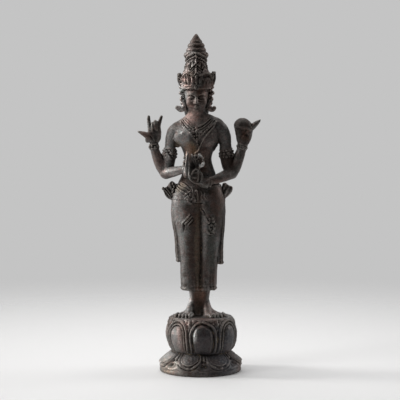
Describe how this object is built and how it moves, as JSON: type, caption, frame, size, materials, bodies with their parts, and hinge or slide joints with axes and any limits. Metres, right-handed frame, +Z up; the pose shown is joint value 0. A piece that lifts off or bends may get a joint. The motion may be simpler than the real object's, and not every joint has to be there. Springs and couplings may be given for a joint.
{
  "type": "four-armed crowned standing figure",
  "caption": "Small cast bronze of a crowned standing figure with four arms, on a round double-lotus base.",
  "frame": {"origin": "middle of the flat underside of the lotus base", "axes": "+Z up along the figure, -Y the way the figure faces, +X the figure's left hand"},
  "size_m": [0.0986, 0.0663, 0.27],
  "materials": {
    "bronze": "old dark brown bronze patina, satin, with dry grey-green and reddish patches"
  },
  "bodies": {
    "root": {"figure_on_lotus_base": "bronze"}
  },
  "joints": []
}
